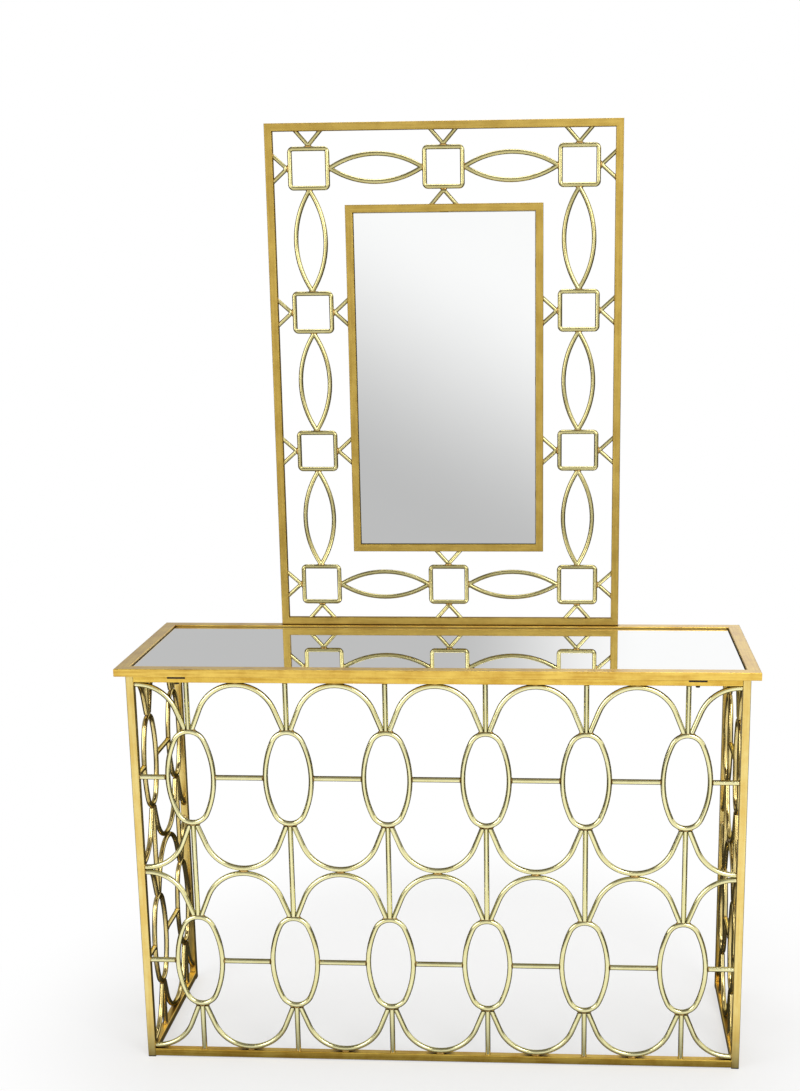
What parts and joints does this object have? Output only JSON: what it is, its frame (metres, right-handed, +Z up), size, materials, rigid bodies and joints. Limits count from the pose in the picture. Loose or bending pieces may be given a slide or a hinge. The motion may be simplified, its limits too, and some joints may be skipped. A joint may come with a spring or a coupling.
{
  "type": "vanity table with mirror",
  "caption": "Narrow gold metal console vanity table with bent-rod lattice panels, a drop-in mirror top and a framed mirror that stands on its rear rail.",
  "frame": {"origin": "bottom centre of the whole object, on the floor under the middle of the table", "axes": "+X along the table to the right as seen from the front, +Y from the lattice front to the open rear, +Z up"},
  "size_m": [1.2, 0.4, 1.8],
  "materials": {
    "gold_rail": "brushed gold, satin",
    "gold_rod": "gold, semi-gloss",
    "mirror_pane": "silvered glass",
    "board": "dark hardboard",
    "glide": "matte",
    "fixing": "dark steel"
  },
  "bodies": {
    "table": {"top_rail_front": "gold_rail", "top_rail_rear": "gold_rail", "top_rail_left": "gold_rail", "top_rail_right": "gold_rail", "long_pane_ledges": "gold_rail", "short_pane_ledges": "gold_rail", "pane_stays": "gold_rail", "top_fixing_plates": "fixing", "top_fixing_screws": "fixing", "leg_front_left": "gold_rail", "leg_front_right": "gold_rail", "leg_rear_left": "gold_rail", "leg_rear_right": "gold_rail", "apron_front": "gold_rail", "apron_rear": "gold_rail", "apron_left": "gold_rail", "apron_right": "gold_rail", "base_rail_front": "gold_rail", "base_rail_left": "gold_rail", "base_rail_right": "gold_rail", "glides": "glide", "locating_pins": "fixing", "front_upper_ovals": "gold_rod", "front_upper_arches": "gold_rod", "front_upper_swags": "gold_rod", "front_upper_cross_rods": "gold_rod", "front_lower_ovals": "gold_rod", "front_lower_arches": "gold_rod", "front_lower_swags": "gold_rod", "front_lower_cross_rods": "gold_rod", "front_uprights": "gold_rod", "left_ovals": "gold_rod", "left_arches": "gold_rod", "left_swags": "gold_rod", "left_uprights": "gold_rod", "left_cross_rods": "gold_rod", "right_ovals": "gold_rod", "right_arches": "gold_rod", "right_swags": "gold_rod", "right_uprights": "gold_rod", "right_cross_rods": "gold_rod"},
    "top_pane": {"top_mirror_pane": "mirror_pane", "top_backing_board": "board"},
    "mirror": {"mirror_bar_bottom": "gold_rail", "mirror_bar_top": "gold_rail", "mirror_bar_left": "gold_rail", "mirror_bar_right": "gold_rail", "glass_bar_bottom": "gold_rail", "glass_bar_top": "gold_rail", "glass_bar_left": "gold_rail", "glass_bar_right": "gold_rail", "square_rings": "gold_rod", "leaf_rods": "gold_rod", "outer_ties": "gold_rod", "inner_ties": "gold_rod", "mirror_glass": "mirror_pane", "glass_backing_board": "board", "glass_tabs": "fixing", "glass_tab_screws": "fixing"}
  },
  "joints": [
    {"name": "pane_lift", "type": "slide", "parent": "table", "child": "top_pane", "axis": [0, 0, 1], "range_m": [0, 0.05]},
    {"name": "mirror_lift", "type": "slide", "parent": "table", "child": "mirror", "axis": [0, 0, 1], "range_m": [0, 0.06]}
  ]
}
